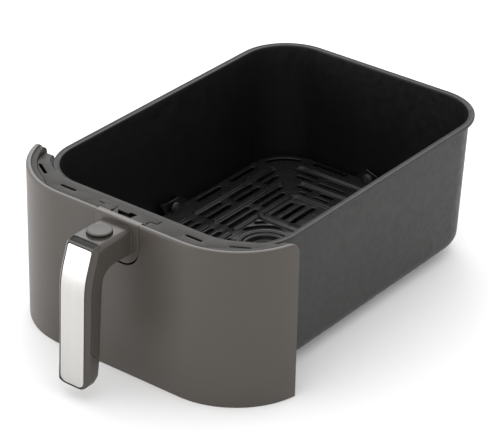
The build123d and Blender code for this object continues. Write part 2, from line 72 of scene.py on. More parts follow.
# Front panel, ledge and tongue
PANEL_HALF_X = 132.3
PANEL_CORNER = 71.4
PANEL_TOP = 137.4
PANEL_WALL = 3.0
ARM_END = 58.0
ARM_ROUND = 7.0
LEDGE_TOP = 136.0
LEDGE_THICK = 1.2
LIP = 4.0
TONGUE_HALF_X = 21.5
TONGUE_BOTTOM = 100.5
TONGUE_CORNER = 15.5
SHELF_HALF_X = 23.2
SHELF_END = 12.6
WING_HALF_X = 29.9
WING_END = 19.3
TONGUE_PROUD = 0.45
JOINT = 0.06
LEDGE_WALL_LOW = 2.5
LEDGE_WALL_HIGH = 130.5

# Handle
HANDLE_HALF_X = 16.0
NECK_TOP = 133.0
NECK_BOTTOM = 110.5
INLAY_HALF_X = 11.7
BUTTON_RADIUS = 10.15
BUTTON_TOP = 135.8
BUTTON_Y = -19.5


# Materials ------------------------------------------------------------------------------


class Nodes:
    """A material with a Principled shader and short helpers to add nodes to it."""

    def __init__(self, name, **sockets):
        self.material = bpy.data.materials.new(name)
        self.material.use_nodes = True
        self.tree = self.material.node_tree
        self.shader = self.tree.nodes["Principled BSDF"]
        self.place = self.add("ShaderNodeTexCoord").outputs["Object"]
        for socket, value in sockets.items():
            self.shader.inputs[socket.replace("_", " ")].default_value = value

    def add(self, kind, **settings):
        node = self.tree.nodes.new(kind)
        for key, value in settings.items():
            setattr(node, key, value)
        return node

    def link(self, a, b):
        self.tree.links.new(a, b)

    def noise(self, scale, detail=4.0, roughness=0.5, stretch=(1, 1, 1)):
        mapping = self.add("ShaderNodeMapping")
        mapping.inputs["Scale"].default_value = stretch
        self.link(self.place, mapping.inputs["Vector"])
        node = self.add("ShaderNodeTexNoise")
        node.inputs["Scale"].default_value = scale
        node.inputs["Detail"].default_value = detail
        node.inputs["Roughness"].default_value = roughness
        self.link(mapping.outputs["Vector"], node.inputs["Vector"])
        return node.outputs["Fac"]

    def ramp(self, fac, low, high, start=0.3, end=0.7):
        node = self.add("ShaderNodeValToRGB")
        node.color_ramp.elements[0].position = start
        node.color_ramp.elements[1].position = end
        node.color_ramp.elements[0].color = low
        node.color_ramp.elements[1].color = high
        self.link(fac, node.inputs["Fac"])
        return node.outputs["Color"]

    def spread(self, fac, low, high):
        node = self.add("ShaderNodeMapRange")
        node.inputs["From Min"].default_value = 0.3
        node.inputs["From Max"].default_value = 0.7
        node.inputs["To Min"].default_value = low
        node.inputs["To Max"].default_value = high
        self.link(fac, node.inputs["Value"])
        return node.outputs["Result"]

    def colour(self, fac, base, change):
        """The base colour, lighter and darker by a share of itself."""
        low = [c * (1 - change) for c in base] + [1]
        high = [c * (1 + change) for c in base] + [1]
        self.link(self.ramp(fac, low, high), self.shader.inputs["Base Color"])

    def roughness(self, fac, low, high):
        self.link(self.spread(fac, low, high), self.shader.inputs["Roughness"])

    def bump(self, fac, height):
        """Relief of a height in metres."""
        node = self.add("ShaderNodeBump")
        node.inputs["Strength"].default_value = 1.0
        node.inputs["Distance"].default_value = height
        self.link(fac, node.inputs["Height"])
        self.link(node.outputs["Normal"], self.shader.inputs["Normal"])


def satin_plastic(name, base, rough, shine=0.5):
    """Moulded plastic with a fine spark-eroded grain."""
    m = Nodes(name, Specular_IOR_Level=shine)
    m.colour(m.noise(60, 3), base, 0.02)
    m.roughness(m.noise(900, 2), rough - 0.05, rough + 0.05)
    m.bump(m.noise(2600, 2, 0.6), 0.000012)
    return m.material


def coated_metal(name, base, rough, shine, change=0.08):
    """Sprayed non-stick coating: a faint orange peel and uneven gloss."""
    m = Nodes(name, Specular_IOR_Level=shine)
    m.colour(m.noise(35, 5), base, change)
    m.roughness(m.noise(160, 4), rough - 0.05, rough + 0.07)
    m.bump(m.noise(700, 3, 0.55), 0.00003)
    return m.material


def silver(name, base, rough):
    m = Nodes(name, Metallic=1.0)
    m.colour(m.noise(400, 3, 0.5, (1, 1, 0.02)), base, 0.02)
    m.roughness(m.noise(500, 2, 0.5, (1, 1, 0.03)), rough - 0.03, rough + 0.03)
    return m.material


def silicone(name, base):
    m = Nodes(name)
    m.colour(m.noise(120, 3), base, 0.1)
    m.roughness(m.noise(300, 2), 0.5, 0.62)
    m.bump(m.noise(1500, 2), 0.00001)
    return m.material


def plated_steel(name, base):
    m = Nodes(name, Metallic=1.0)
    m.colour(m.noise(80, 4), base, 0.06)
    m.roughness(m.noise(250, 3), 0.3, 0.42)
    m.bump(m.noise(900, 2), 0.00001)
    return m.material


LOOK = {
    "pan": coated_metal("pan_coating", (0.027, 0.0262, 0.0255), 0.45, 0.22),
    "plate": coated_metal("plate_coating", (0.0095, 0.0094, 0.0092), 0.29, 0.44),
    "panel_plastic": satin_plastic("panel_plastic", (0.049, 0.041, 0.034), 0.40),
    "ledge_plastic": satin_plastic("ledge_plastic", (0.020, 0.018, 0.0165), 0.5, 0.24),
    "handle_plastic": satin_plastic("handle_plastic", (0.050, 0.044, 0.038), 0.33, 0.4),
    "frame_plastic": satin_plastic("frame_plastic", (0.046, 0.041, 0.036), 0.33, 0.4),
    "button_plastic": satin_plastic("button_plastic", (0.046, 0.041, 0.036), 0.36, 0.36),
    "lever_plastic": satin_plastic("lever_plastic", (0.004, 0.004, 0.004), 0.6, 0.08),
    "inlay": silver("inlay_silver", (0.525, 0.512, 0.498), 0.3),
    "silicone": silicone("silicone", (0.020, 0.020, 0.021)),
    "steel": plated_steel("steel", (0.55, 0.55, 0.56)),
    "spring_steel": plated_steel("spring_steel", (0.5, 0.5, 0.51)),
}

# Second finishes on pieces that have more than one: a painted highlight on the lip, the dark strip, and
# painted shade on the button's wall and the pan's inside
# Painted highlight: the lip is coloured lighter than the panel to stand in for the bright reflection
# along it
LIP_PAINTED_HIGHLIGHT = satin_plastic("panel_lip_painted_highlight", (0.084, 0.077, 0.071), 0.36)
STRIP = satin_plastic("strip_plastic", (0.008, 0.008, 0.008), 0.5, 0.3)
# Painted shade: the button's side wall is near black, as if in shadow under the cap
BUTTON_WALL_PAINTED_SHADE = satin_plastic("button_wall_painted_shade", (0.004, 0.004, 0.004), 0.6, 0.08)
# Painted shade: the pan's inside is a much darker copy of its coating
PAN_INSIDE_PAINTED_SHADE = coated_metal("pan_inside_painted_shade", (0.0045, 0.0045, 0.0045), 0.4, 0.4, 0.1)


# Mesh tools -----------------------------------------------------------------------------


def piece(name, bm, body, slot, smooth=35, replaces=()):
    """Turns a mesh drawn in millimetres into a placed, shaded piece of the object."""
    bmesh.ops.remove_doubles(bm, verts=bm.verts, dist=0.0005)
    bmesh.ops.recalc_face_normals(bm, faces=bm.faces)
    bm.transform(Matrix.Translation((0, FRONT / 1000, 0)) @ Matrix.Scale(0.001, 4))
    mesh = bpy.data.meshes.new(name)
    bm.to_mesh(mesh)
    bm.free()
    obj = bpy.data.objects.new(name, mesh)
    bpy.context.scene.collection.objects.link(obj)
    mesh.materials.append(LOOK[slot])
    mesh.shade_smooth()
    mesh.set_sharp_from_angle(angle=math.radians(smooth))
    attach(obj, body)
    if replaces:
        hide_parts(*replaces)
    return obj


def loft(bm, loops, closed=True, cap_start=False, cap_end=False):
    """Joins loops of points with quads, and caps the ends if asked."""
    rows = [[bm.verts.new(p) for p in loop] for loop in loops]
    count = len(rows[0])
    for a, b in zip(rows, rows[1:]):
        for i in range(count if closed else count - 1):
            j = (i + 1) % count
            bm.faces.new((a[i], a[j], b[j], b[i]))
    if cap_start:
        bm.faces.new(rows[0][::-1])
    if cap_end:
        bm.faces.new(rows[-1])


def arc(cx, cy, radius, start, end, steps):
    """Points on an arc, angles in degrees."""
    angles = [math.radians(start + (end - start) * i / steps) for i in range(steps + 1)]
    return [(cx + radius * math.cos(a), cy + radius * math.sin(a)) for a in angles]


def rounded_loop(half_x, half_y, corner, cy=0.0, steps=16, along=6):
    """A rounded rectangle, with the same number of points for any size."""
    dx, dy = half_x - corner, half_y - corner
    points = []
    for sx, sy, start in ((1, 1, 0), (-1, 1, 90), (-1, -1, 180), (1, -1, 270)):
        points += arc(sx * dx, cy + sy * dy, corner, start, start + 90, steps)
    full = []
    for i, p in enumerate(points):
        full.append(p)
        if (i + 1) % (steps + 1) == 0:
            q = points[(i + 1) % len(points)]
            full += [lerp(p, q, k / along) for k in range(1, along)]
    return full


def lerp(p, q, t):
    return tuple(a + (b - a) * t for a, b in zip(p, q))


def at_z(loop, z):
    return [(x, y, z) for x, y in loop]


def offset_loop(loop, distance):
    """A closed loop moved to its left by distance, with mitred corners."""
    moved = []
    count = len(loop)
    for i in range(count):
        a, b, c = (Vector(loop[(i + k) % count]) for k in (-1, 0, 1))
        u, v = (b - a).normalized(), (c - b).normalized()
        normal = Vector((-(u.y + v.y), u.x + v.x))
        length = max(normal.length, 1e-6)
        normal = normal / length
        miter = max(0.35, normal.dot(Vector((-u.y, u.x))))
        moved.append(tuple(b + normal * (distance / miter)))
    return moved


def path_loop(path, radius, steps=6):
    """The outline at a distance round an open path, with round ends."""
    points = [Vector(p) for p in path]
    normals = []
    for i, p in enumerate(points):
        before = points[max(i - 1, 0)]
        after = points[min(i + 1, len(points) - 1)]
        t = (after - before).normalized()
        normals.append(Vector((-t.y, t.x)))
    loop = [tuple(p + n * radius) for p, n in zip(points, normals)]
    end_angle = math.degrees(math.atan2(normals[-1].y, normals[-1].x))
    loop += arc(*points[-1], radius, end_angle, end_angle - 180, steps)[1:-1]
    loop += [tuple(p - n * radius) for p, n in zip(points, normals)][::-1]
    start_angle = math.degrees(math.atan2(-normals[0].y, -normals[0].x))
    loop += arc(*points[0], radius, start_angle, start_angle - 180, steps)[1:-1]
    return loop[::-1]


def inside(point, loop):
    """Whether a point is in a closed loop."""
    x, y = point
    odd = False
    for (x0, y0), (x1, y1) in zip(loop, loop[1:] + loop[:1]):
        if (y0 > y) != (y1 > y) and x < (x1 - x0) * (y - y0) / (y1 - y0) + x0:
            odd = not odd
    return odd


def boxes_of(loops):
    found = []
    for loop in loops:
        xs, ys = [p[0] for p in loop], [p[1] for p in loop]
        found.append((min(xs), max(xs), min(ys), max(ys)))
    return found


def flat_triangles(outer, holes):
    """Triangles of a flat region with holes, as (points, index triples)."""
    points, edges = [], []
    for loop in [outer, *holes]:
        start = len(points)
        points += [Vector(p) for p in loop]
        edges += [(start + i, start + (i + 1) % len(loop)) for i in range(len(loop))]
    verts, _, faces, _, _, _ = delaunay_2d_cdt(points, edges, [], 0, 1e-5)
    limits = boxes_of(holes)
    kept = []
    for face in faces:
        cx = sum(verts[i].x for i in face) / 3
        cy = sum(verts[i].y for i in face) / 3
        if not inside((cx, cy), outer):
            continue
        hit = False
        for (x0, x1, y0, y1), hole in zip(limits, holes):
            if x0 < cx < x1 and y0 < cy < y1 and inside((cx, cy), hole):
                hit = True
                break
        if not hit:
            kept.append(face)
    return verts, kept


def add_flat(bm, outer, holes, place):
    """Adds a flat region with holes; place turns (x, y) into a point."""
    verts, faces = flat_triangles(outer, holes)
    made = {}
    for face in faces:
        for i in face:
            if i not in made:
                made[i] = bm.verts.new(place(verts[i].x, verts[i].y))
        bm.faces.new([made[i] for i in face])


def slab(bm, outer, holes, low, high, soft=0.4, place=None):
    """A plate with holes between two heights, its edges rounded by soft.
    place turns (x, y, height) into a point. Loops run anticlockwise."""
    place = place or (lambda x, y, h: (x, y, h))
    rings = rounding(soft, high, -1) + rounding(soft, low, 1)[::-1]
    for top, side in ((high, 0), (low, -1)):
        edge = offset_loop(outer, rings[side][0])
        openings = [offset_loop(h, -rings[side][0]) for h in holes]
        add_flat(bm, edge, openings, lambda x, y, top=top: place(x, y, top))
    loft(bm, [[place(x, y, h) for x, y in offset_loop(outer, inset)] for inset, h in rings])
    for hole in holes:
        loft(bm, [[place(x, y, h) for x, y in offset_loop(hole, -inset)] for inset, h in rings])


def rounding(soft, level, direction, steps=3):
    """(inset, height) pairs of a rounded edge, from the face at level to the side."""
    if soft <= 0:
        return [(0.0, level)]
    pairs = []
    for i in range(steps + 1):
        a = math.radians(90 * i / steps)
        pairs.append((soft * (1 - math.sin(a)), level + direction * soft * (1 - math.cos(a))))
    return pairs


def lathe(bm, profile, centre, steps=48, cap_start=True, cap_end=True):
    """Turns (radius, z) pairs about an upright line."""
    loops = []
    for radius, z in profile:
        ring = arc(centre[0], centre[1], radius, 0, 360 - 360 / steps, steps - 1)
        loops.append(at_z(ring, z))
    loft(bm, loops, cap_start=cap_start, cap_end=cap_end)


# Pan ------------------------------------------------------------------------------------


def pan_level(outset, z):
    """The pan's plan grown by outset from the rim's opening, with no draft."""
    half_x, half_y, corner = PAN_HALF_X + outset, PAN_HALF_Y + outset, PAN_CORNER + outset
    return at_z(rounded_loop(half_x, half_y, corner, PAN_CENTRE_Y, 24, 10), z)


def pan_loop(outset, z):
    """The pan's plan at a height, grown by outset from its drafted inner wall."""
    return pan_level(outset - (RIM_Z - z) * PAN_DRAFT, z)


def rim_profile():
    """(outset, z) from under the lip, over the rim and into the pan."""
    profile = [(4.4, 128.6), (4.6, 128.4), (5.05, 128.4), (RIM_OUT, 128.7), (RIM_OUT, 130.2)]
    profile += [(5.2, 130.6), (4.95, 130.9), (4.5, RIM_Z), (4.0, 130.95), (3.5, 130.7), (3.0, 130.55)]
    profile += [(1.6, 130.55), (1.1, 130.7), (0.8, 130.8), (0.45, 130.75), (0.18, 130.5), (0.03, 130.0)]
    return profile


def bowl_loops(outset, base_z, fillet, first_z):
    """Loops down a drafted wall and round its bottom fillet to the floor."""
    loops = [pan_loop(outset, z) for z in (first_z, 120, 100, 80, 60, 40, base_z + fillet)]
    steps = 8
    for i in range(1, steps + 1):
        a = math.radians(90 * i / steps)
        z = base_z + fillet * (1 - math.sin(a))
        inward = fillet * (1 - math.cos(a))
        loops.append(at_z([(x, y) for x, y, _ in pan_loop(outset - inward, base_z + fillet)], z))
    return loops


def build_pan():
    """The pan: its outside and rim in one finish, and its inside in a much darker copy that paints in
    shade.
    """
    bm = bmesh.new()
    outside = bowl_loops(1.0, PAN_BASE_Z, 14.0, 126.0)
    flange = [(0.95, 129.2), (1.3, 129.7), (1.8, 129.9), (4.1, 129.9), (4.3, 129.6)]
    under = [pan_level(o, z) for o, z in flange]
    rim = [pan_level(o, z) for o, z in rim_profile()]
    hollow = bowl_loops(0.0, PAN_BASE_Z + 1.0, 13.0, 128.0)
    loft(bm, outside[::-1] + under + rim, cap_start=True)
    coated = len(bm.faces)
    loft(bm, rim[-1:] + hollow, cap_end=True)
    bm.faces.ensure_lookup_table()
    # The inside faces take the darker copy of the coating, a painted shade
    for face in bm.faces[coated:]:
        face.material_index = 1
    obj = piece("pan_shell", bm, "drawer", "pan", 30, ["pan"])
    obj.data.materials.append(PAN_INSIDE_PAINTED_SHADE)
    return obj


# Crisper plate --------------------------------------------------------------------------


def slot_paths():
    """The slots' centre lines on the whole plate, about its centre."""
    quarter = []
    runs_y = [(93.5, 24, 58), (93.5, 70, 106), (75.5, 5, 36), (75.5, 46, 79), (75.5, 86, 113)]
    runs_y += [(67, 5, 38), (67, 46, 79), (67, 86, 106), (52.5, 5, 45), (52.5, 52, 92)]
    runs_y += [(44, 5, 45), (44, 52, 84), (27.5, 45, 75), (17.5, 45, 78), (7.5, 45, 79)]
    runs_x = [(144.5, 20, 59), (125, 37, 63), (125, 3, 28), (116, 37, 55), (116, 3, 31)]
    runs_x += [(102, 27, 43), (102, 4, 19), (93, 27, 35), (93, 4, 20)]
    r = SLOT_HALF
    quarter += [[(x, a + r), (x, b - r)] for x, a, b in runs_y]
    quarter += [[(a + r, y), (b - r, y)] for y, a, b in runs_x]
    quarter.append(arc(63, 112, 29.6, 18, 76, 10))
    quarter.append(arc(0, 0, 33.5, 20, 74, 10))
    quarter.append([(25.5, 32.0), (30.5, 27.0)])
    paths = []
    for sx in (1, -1):
        for sy in (1, -1):
            paths += [[(sx * x, sy * y) for x, y in path] for path in quarter]
    return paths


def bead(bm, loops_at, profile):
    """A raised bead: loops_at(radius) gives its outline, and profile the (radius, height)."""
    loft(bm, [at_z(loops_at(r), PLATE_TOP + h) for r, h in profile], cap_end=True)


# A pressed ridge's section, from its foot to its middle, as (distance from the middle, height)
BEAD = [(3.4, -0.3), (3.3, 0.0), (3.0, 0.12), (2.7, 0.5), (2.45, 1.2)]
BEAD += [(2.15, 1.65), (1.7, 1.8), (1.0, 1.7), (0.3, 1.65)]


def ridge_paths():
    """The open ridges' centre lines on the whole plate."""
    quarter = [
        [(81.6, 8), (81.6, 108)] + arc(61.6, 108, 20, 0, 22, 4)[1:],
        [(0, 133), (55, 133)] + arc(55, 113, 20, 90, 68, 4)[1:],
        [(58.6, 6), (58.6, 90)] + arc(46.6, 90, 12, 0, 25, 3)[1:],
        [(36, 5), (36, 33)],
        [(0, 110), (38, 110)] + arc(38, 98, 12, 90, 65, 3)[1:],
    ]
    paths = []
    for sx in (1, -1):
        for sy in (1, -1):
            paths += [[(sx * x, sy * y) for x, y in path] for path in quarter]
    return paths


def ring_bead(bm, loop, profile):
    """A bead along a closed loop, from its outer foot over to its inner foot."""
    loops = [at_z(offset_loop(loop, -r), PLATE_TOP + h) for r, h in profile]
    loops += [at_z(offset_loop(loop, r), PLATE_TOP + h) for r, h in profile[::-1]]
    loft(bm, loops)


def plate_edge():
    """(inset, z) from the plate's flat top, over its rolled edge and down its skirt."""
    edge = [(5.0, 0.0), (3.6, 0.1), (2.4, 0.5), (1.3, 1.3), (0.5, 2.5), (0.1, 4.0), (0.0, 6.0)]
    edge += [(0.0, 8.0), (0.4, 8.3), (0.9, 8.3), (1.3, 8.0), (1.4, 4.3), (2.1, 2.7), (3.3, 1.8)]
    edge += [(5.0, PLATE_THICK)]
    return [(inset, PLATE_TOP - drop) for inset, drop in edge]


def dish_profile():
    """(radius, z) of the hub's dish, from its upper edge in to its hole and back underneath."""
    dish = [(20.0, 0.0), (19.2, 0.3), (18.6, 1.2), (18.2, 4.0), (17.4, 4.8), (16.4, 5.0), (10.5, 5.0)]
    dish += [(10.0, 5.3), (10.0, 6.2), (10.4, 6.5), (16.8, 6.5), (18.6, 6.0), (19.7, 4.6)]
    dish += [(20.0, PLATE_THICK)]
    return [(radius, PLATE_TOP - drop) for radius, drop in dish]


def build_plate():
    """The crisper plate: a slotted flat with a rolled edge, ridges, a dished hub and ears."""
    bm = bmesh.new()

    def outline(inset):
        return rounded_loop(PLATE_HALF_X - inset, PLATE_HALF_Y - inset, PLATE_CORNER - inset, 0, 20, 8)

    slots = [path_loop(path, SLOT_HALF) for path in slot_paths()]
    hub = arc(0, 0, 20.0, 0, 360 - 7.5, 47)
    edge = plate_edge()
    soft = 0.5
    grown = [offset_loop(s, -soft) for s in slots]
    add_flat(bm, outline(edge[0][0]), grown + [hub], lambda x, y: (x, y, PLATE_TOP))
    add_flat(bm, outline(edge[-1][0]), slots + [hub], lambda x, y: (x, y, PLATE_TOP - PLATE_THICK))
    loft(bm, [at_z(outline(inset), z) for inset, z in edge])
    for slot in slots:
        rings = [at_z(offset_loop(slot, -inset), z) for inset, z in rounding(soft, PLATE_TOP, -1)]
        rings.append(at_z(slot, PLATE_TOP - PLATE_THICK))
        loft(bm, rings)
    lathe(bm, dish_profile(), (0, 0), 48, False, False)
    for path in ridge_paths():
        bead(bm, lambda r, path=path: path_loop(path, r), BEAD)
    for sy in (1, -1):
        ring = rounded_loop(36, 25.75, 7, sy * 61.25, 8, 6)
        ring_bead(bm, ring, BEAD)
    ring_bead(bm, arc(0, 0, 24.0, 0, 360 - 7.5, 47), BEAD)
    for ear in EARS:
        add_ear(bm, *ear)
    bmesh.ops.translate(bm, verts=bm.verts, vec=(0, PAN_CENTRE_Y, 0))
    return piece("crisper_plate_pressed", bm, "plate", "plate", 40, ["crisper_plate"])


# An ear from inside the pan, as (along, z)
END_EAR = [(-15.5, 26.8), (-11.0, 29.6), (-8.4, 33.2), (-6.2, 36.2), (-4.2, 37.3), (-2.4, 36.6)]
END_EAR += [(1.0, 34.9), (6.0, 33.6), (9.5, 31.6), (12.5, 29.2), (15.5, 26.8)]
SIDE_EAR = [(-9.6, 26.8), (-12.2, 32.2), (-15.2, 36.9), (-16.3, 38.4), (-14.6, 37.6), (-10.8, 36.2)]
SIDE_EAR += [(-4.1, 35.2), (2.7, 34.9), (6.8, 35.4), (9.2, 35.3), (12.6, 33.7), (16.3, 31.0)]
SIDE_EAR += [(21.4, 26.8)]


def mirrored(outline):
    return [(-along, z) for along, z in outline[::-1]]


# Each ear's angle about the plate's middle, its distance from there and its outline
EARS = (
    (0, PLATE_HALF_Y, END_EAR),
    (90, PLATE_HALF_X, SIDE_EAR),
    (180, PLATE_HALF_Y, mirrored(END_EAR)),
    (270, PLATE_HALF_X, mirrored(SIDE_EAR)),
)
STUD_Z = 30.4
# A bumper's section as (radius, distance in from the plate's edge)
STUD = [(0.3, 6.9), (1.1, 6.8), (1.4, 6.3), (1.8, 6.75), (3.4, 6.6), (4.5, 5.9), (5.0, 4.8), (4.9, 3.9)]
STUD += [(4.3, 3.6), (1.9, 3.5), (1.6, 0.4), (4.3, 0.35), (4.8, 0.1), (4.9, -0.3), (4.4, -0.75)]
STUD += [(0.3, -0.85)]


def add_ear(bm, angle, distance, outline):
    """An upright ear at the middle of a side, bent up from the plate's edge."""
    turn = Matrix.Rotation(math.radians(angle), 4, "Z")

    def place(along, z, depth):
        return turn @ Vector((along, -distance + 1.9 - depth, z))

    hole = arc(0, STUD_Z, 1.7, 0, 345, 23)
    slab(bm, outline, [hole], 0.0, 1.5, 0.45, place)


def build_bumpers():
    """Silicone studs: a domed knob inside the ear, a neck through it and a pad outside."""
    for (angle, distance, _), name in zip(EARS, ("front", "right", "back", "left")):
        bm = bmesh.new()
        lathe(bm, STUD, (0, 0), 40)
        lay = Matrix.Rotation(math.radians(-90), 4, "X")
        lift = Matrix.Translation((0, -distance, STUD_Z))
        turn = Matrix.Rotation(math.radians(angle), 4, "Z")
        bm.transform(Matrix.Translation((0, PAN_CENTRE_Y, 0)) @ turn @ lift @ lay)
        piece("bumper_stud_" + name, bm, "plate", "silicone", 50, ["bumper_" + name])


# Front panel ----------------------------------------------------------------------------


def arm_arc(cx, cy, corner, start, end):
    """An arc that starts at an arm's end, with close points over the first few millimetres."""
    near = start + math.copysign(math.degrees(8.0 / corner), end - start)
    return arc(cx, cy, corner, start, near, 12)[:-1] + arc(cx, cy, corner, near, end, 28)


def panel_path(inset):
    """The panel's plan from its right arm end to its left, moved in by inset."""
    half_x = PANEL_HALF_X - inset
    corner = PANEL_CORNER - inset
    cx, cy = half_x - corner, inset + corner
    end_angle = -math.degrees(math.asin((cy - ARM_END) / corner))
    right = arm_arc(cx, cy, corner, end_angle, -90)
    left = [(-x, y) for x, y in right[::-1]]
    middle = [lerp(right[-1], left[0], k / 12) for k in range(1, 12)]
    return right + middle + left


def end_drop(y):
    """How far the arm's top corner has rounded down at depth y."""
    over = y - (ARM_END - ARM_ROUND)
    if over <= 0:
        return 0.0
    return ARM_ROUND - math.sqrt(max(0.0, ARM_ROUND ** 2 - over ** 2))


# The panel's top edge as (inset, z): a small round in the panel's colour, then the lip, coloured
# lighter as a painted highlight
LIP_EDGE_ROUND = [(0.0, 135.8), (0.08, 136.3), (0.3, 136.7)]
LIP_TOP = [(0.7, 137.02), (1.2, 137.23), (1.9, 137.33), (2.8, 137.35), (3.4, 137.33), (3.75, 137.22)]
PANEL_SECTION = [
    (0.0, 1.2), (0.0, 20.0), (0.0, 60.0), (0.0, 100.0), (0.0, 120.0), (0.0, 130.0),
    *LIP_EDGE_ROUND, *LIP_TOP, (3.95, 137.0), (LIP, 136.7), (LIP, 133.5),
    (PANEL_WALL, 133.0), (PANEL_WALL, 60.0),
    (PANEL_WALL, 0.6), (2.6, 0.15), (2.2, 0.0), (1.0, 0.0), (0.4, 0.25),
]


def build_panel():
    """The curved front panel with its lip, cut out for the tongue."""
    bm = bmesh.new()
    stations = len(panel_path(0))
    loops = []
    for k in range(stations):
        loop = []
        for inset, z in PANEL_SECTION:
            x, y = panel_path(inset)[k]
            top_share = max(0.0, (z - 120) / (PANEL_TOP - 120))
            loop.append((x, y, z - top_share * end_drop(y)))
        loops.append(loop)
    loft(bm, loops, cap_start=True, cap_end=True)
    # The lip's top faces take the second finish, a lighter colour that paints in a highlight
    first = PANEL_SECTION.index(LIP_TOP[0])
    for k, face in enumerate(bm.faces):
        if first <= k % len(PANEL_SECTION) <= first + len(LIP_TOP):
            face.material_index = 1
    obj = piece("front_panel_cover", bm, "drawer", "panel_plastic", 32, ["front_panel"])
    obj.data.materials.append(LIP_PAINTED_HIGHLIGHT)
    cutter = bmesh.new()
    outline = tongue_outline(0.3, 1.9, PANEL_TOP + 10)
    loft(cutter, [[(x, y, z) for x, z in outline] for y in (-10, 12)], cap_start=True, cap_end=True)
    cut(obj, cutter)
    return obj


def cut(obj, cutter, operation="DIFFERENCE"):
    """Takes a mesh drawn in millimetres out of a piece, or keeps what is inside it."""
    bmesh.ops.remove_doubles(cutter, verts=cutter.verts, dist=0.0005)
    bmesh.ops.recalc_face_normals(cutter, faces=cutter.faces)
    cutter.transform(Matrix.Translation((0, FRONT / 1000, 0)) @ Matrix.Scale(0.001, 4))
    mesh = bpy.data.meshes.new("cutter")
    cutter.to_mesh(mesh)
    cutter.free()
    tool = bpy.data.objects.new("cutter", mesh)
    bpy.context.scene.collection.objects.link(tool)
    mod = obj.modifiers.new("cut", "BOOLEAN")
    mod.operation = operation
    mod.solver = "EXACT"
    mod.use_self = True
    mod.object = tool
    bpy.context.view_layer.update()
    graph = bpy.context.evaluated_depsgraph_get()
    result = bpy.data.meshes.new_from_object(obj.evaluated_get(graph))
    obj.modifiers.remove(mod)
    obj.data = result
    bpy.data.objects.remove(tool)


# Tongue and ledge -----------------------------------------------------------------------


def tongue_outline(gap, low_gap, top):
    """The tongue from the front as (x, z): square at the top, rounded at the bottom."""
    half = TONGUE_HALF_X + gap
    corner = TONGUE_CORNER + gap
    low = TONGUE_BOTTOM - low_gap
    left = arc(-half + corner, low + corner, corner, 180, 270, 12)
    right = arc(half - corner, low + corner, corner, 270, 360, 12)
    return [(-half, top), *left, *right, (half, top)]


def shelf_outline():
    """The tongue's top from above: the shelf from the lip back, with its wings."""
    a, b = SHELF_HALF_X, WING_HALF_X
    y0, y1, y2 = LIP + 2.6, SHELF_END, WING_END
    return [(-a, y0), (a, y0), (a, y1), (b, y1), (b, y2), (-b, y2), (-b, y1), (-a, y1)]


def latch_opening():
    return [(-8.7, 12.8), (-4.7, 7.1), (6.4, 7.3), (7.6, 10.6), (8.5, 15.3), (1.9, 15.3), (1.5, 12.8)]


def latch_slit():
    """The bent slit beside the opening, which leaves a small tab between them."""
    right = [(-10.6, 7.1), (-10.8, 10.0), (-11.3, 13.0), (-12.2, 17.6)]
    return [(-13.0, 7.1)] + right + [(-12.7, 17.5), (-12.0, 13.0)]


def wing_seam():
    """The open joint round the right wing, as a narrow slit inside the shelf's edge."""
    path = [(22.6, 8.5), (22.6, 12.4), (23.4, 13.25), (28.6, 13.25), (29.25, 13.9), (29.25, 18.6)]
    return path_loop(path, 0.4)


def build_tongue():
    """The tongue set into the panel: its front, its lip and the shelf behind it."""
    bm = bmesh.new()

    def upright(x, z, depth):
        return (x, -depth, z)

    slab(bm, tongue_outline(0, 0, 136.7), [], -PANEL_WALL, TONGUE_PROUD, TONGUE_PROUD, upright)
    covered = len(bm.faces)
    lip = [(0.2, 135.4)] + [(inset * 1.12 - 0.44, z) for inset, z in LIP_EDGE_ROUND + LIP_TOP]
    lip += [(5.9, 137.15), (6.5, 136.8), (7.0, LEDGE_TOP), (7.0, 134.2)]
    ends = [[(x, y, z) for y, z in lip] for x in (-TONGUE_HALF_X, TONGUE_HALF_X)]
    loft(bm, ends, cap_start=True, cap_end=True)
    rounded = len(bm.faces)
    holes = [latch_opening(), latch_slit()]
    holes += [slot_loop(-25.6, 13.5, 5.6, 0.45), wing_seam()]
    slab(bm, shelf_outline(), holes, LEDGE_TOP - LEDGE_THICK, LEDGE_TOP, 0.1)
    # The lip's top faces take the lighter second finish, a painted highlight; the shelf takes the
    # ledge's finish
    for k, face in enumerate(bm.faces):
        if k >= rounded:
            face.material_index = 2
        elif covered + len(LIP_EDGE_ROUND) < k <= covered + len(lip) - 3:
            face.material_index = 1
    obj = piece("tongue", bm, "drawer", "panel_plastic", 32, ["escutcheon"])
    obj.data.materials.append(LIP_PAINTED_HIGHLIGHT)
    obj.data.materials.append(LOOK["ledge_plastic"])
    return obj


def slot_loop(cx, cy, length, half, turn=0.0):
    """The outline of a straight slot with round ends, turned about its middle."""
    reach = length / 2 - half
    dx, dy = reach * math.cos(math.radians(turn)), reach * math.sin(math.radians(turn))
    ends = [(cx - dx, cy - dy), (cx + dx, cy + dy)]
    return path_loop(ends, half)


def ledge_inner_path(outset):
    """The ledge's inner edge from the left arm end to the right, round the pan's corners."""
    corner = PAN_CORNER + RIM_OUT + outset
    cx = PAN_HALF_X - PAN_CORNER
    cy = PAN_CENTRE_Y - PAN_HALF_Y + PAN_CORNER
    start = 180 + math.degrees(math.asin((cy - ARM_END) / corner))
    left = arm_arc(-cx, cy, corner, start, 270)
    return left + [(-x, y) for x, y in left[::-1]]


def smooth(t):
    t = min(1.0, max(0.0, t))
    return t * t * (3 - 2 * t)


def ledge_drop(x, y):
    """How far the inner ledge has sunk below the outer band, growing round each corner."""
    turn = math.degrees(math.atan2(abs(x) - (PANEL_HALF_X - PANEL_CORNER), PANEL_CORNER - y))
    return 4.0 * smooth((turn - 44) / 30)


def on_ledge(x, y, h):
    return (x, y, h - ledge_drop(x, y) - end_drop(y))


def under_ledge(x, y, h):
    return (x, y, h - end_drop(y) * (h > 60))


